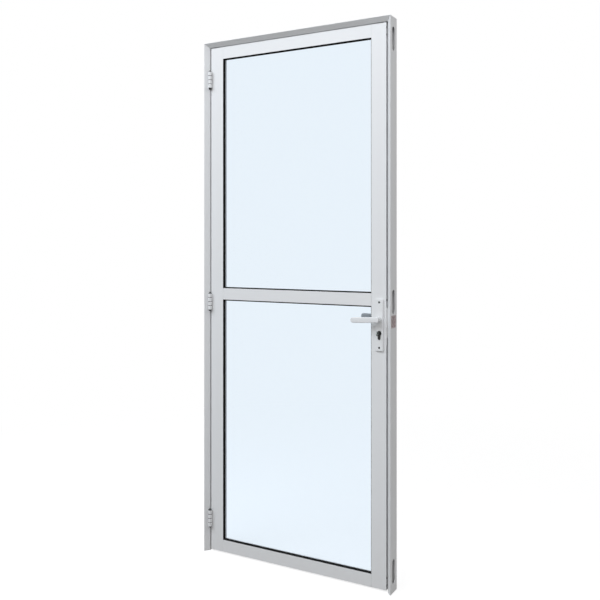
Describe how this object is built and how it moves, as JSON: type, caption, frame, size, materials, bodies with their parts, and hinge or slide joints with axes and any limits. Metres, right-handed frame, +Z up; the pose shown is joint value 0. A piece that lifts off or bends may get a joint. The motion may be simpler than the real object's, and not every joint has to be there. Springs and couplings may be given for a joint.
{
  "type": "glass door with frame",
  "caption": "Hinged door with two clear glass panes in a white aluminium leaf, lever handles and a mortise lock, hung in a bevelled three-sided frame.",
  "frame": {"origin": "floor level, middle of the frame's width, middle of the leaf's thickness", "axes": "+Z up, +X towards the lock side, -Y towards the side the leaf opens to"},
  "size_m": [0.834, 0.1092, 2.117],
  "materials": {
    "white_profile": "white powder coat, satin",
    "white_hinge": "white powder coat, satin",
    "white_handle": "white lacquer, satin",
    "white_screw": "white lacquered head",
    "dark_steel": "blackened steel",
    "clear_glass": "clear float glass",
    "black_rubber": "matt extruded rubber",
    "black_plastic": "moulded, matt",
    "brown_plastic": "moulded, matt",
    "black_cylinder": "black coated brass",
    "nickel": "nickel plated brass",
    "dull_nickel": "worn nickel plate on brass",
    "steel": "zinc plated or stainless"
  },
  "bodies": {
    "frame": {"hinge_jamb": "white_profile", "lock_jamb": "white_profile", "head": "white_profile", "corner_cleats": "steel", "hinge_seal": "black_rubber", "lock_seal": "black_rubber", "head_seal": "black_rubber", "strike_plate": "steel", "strike_box": "brown_plastic", "strike_screws": "steel", "frame_hinge_top": "white_hinge", "frame_hinge_mid": "white_hinge", "frame_hinge_low": "white_hinge", "frame_hinge_screws": "white_screw", "hinge_pins": "steel", "hinge_caps": "black_plastic"},
    "leaf": {"hinge_stile": "white_profile", "lock_stile": "white_profile", "top_rail": "white_profile", "mid_rail": "white_profile", "bottom_rail": "white_profile", "rail_screws": "steel", "upper_pane": "clear_glass", "lower_pane": "clear_glass", "upper_front_gasket": "black_rubber", "lower_front_gasket": "black_rubber", "upper_rear_gasket": "black_rubber", "lower_rear_gasket": "black_rubber", "setting_blocks": "black_plastic", "upper_bead_left": "white_profile", "upper_bead_right": "white_profile", "upper_bead_top": "white_profile", "upper_bead_bottom": "white_profile", "lower_bead_left": "white_profile", "lower_bead_right": "white_profile", "lower_bead_top": "white_profile", "lower_bead_bottom": "white_profile", "door_hinge_top": "white_hinge", "door_hinge_mid": "white_hinge", "door_hinge_low": "white_hinge", "door_hinge_screws": "white_screw", "lock_case": "steel", "faceplate": "steel", "faceplate_screws": "steel", "front_plate": "white_handle", "rear_plate": "white_handle", "plate_screws": "dark_steel", "cylinder_body": "black_cylinder", "rear_plug": "black_cylinder", "cylinder_screw": "steel"},
    "lever_set": {"front_lever": "white_handle", "rear_lever": "white_handle", "spindle": "steel", "follower": "steel"},
    "latch": {"latch_bolt": "nickel"},
    "key_set": {"key": "dull_nickel", "front_plug": "black_cylinder"},
    "bolt": {"dead_bolt": "nickel"}
  },
  "joints": [
    {"name": "leaf_swing", "type": "hinge", "parent": "frame", "child": "leaf", "pos_m": [-0.3935, -0.0238, 0], "axis": [0, 0, -1], "range_deg": [0, 150]},
    {"name": "lever_turn", "type": "hinge", "parent": "leaf", "child": "lever_set", "pos_m": [0.368, 0, 1.003], "axis": [0, -1, 0], "range_deg": [0, 40], "stiffness_Nm_per_rad": 1, "springref_deg": -34.38},
    {"name": "latch_slide", "type": "slide", "parent": "leaf", "child": "latch", "axis": [-1, 0, 0], "range_m": [0, 0.012]},
    {"name": "key_turn", "type": "hinge", "parent": "leaf", "child": "key_set", "pos_m": [0.368, 0, 0.952], "axis": [0, -1, 0], "range_deg": [0, 360]},
    {"name": "bolt_slide", "type": "slide", "parent": "leaf", "child": "bolt", "axis": [1, 0, 0], "range_m": [0, 0.014]}
  ],
  "couplings": [
    {"joint": "latch_slide", "follows": "lever_turn", "m_per_rad": 0.01718},
    {"joint": "key_turn", "follows": "bolt_slide", "rad_per_m": 448.7}
  ]
}
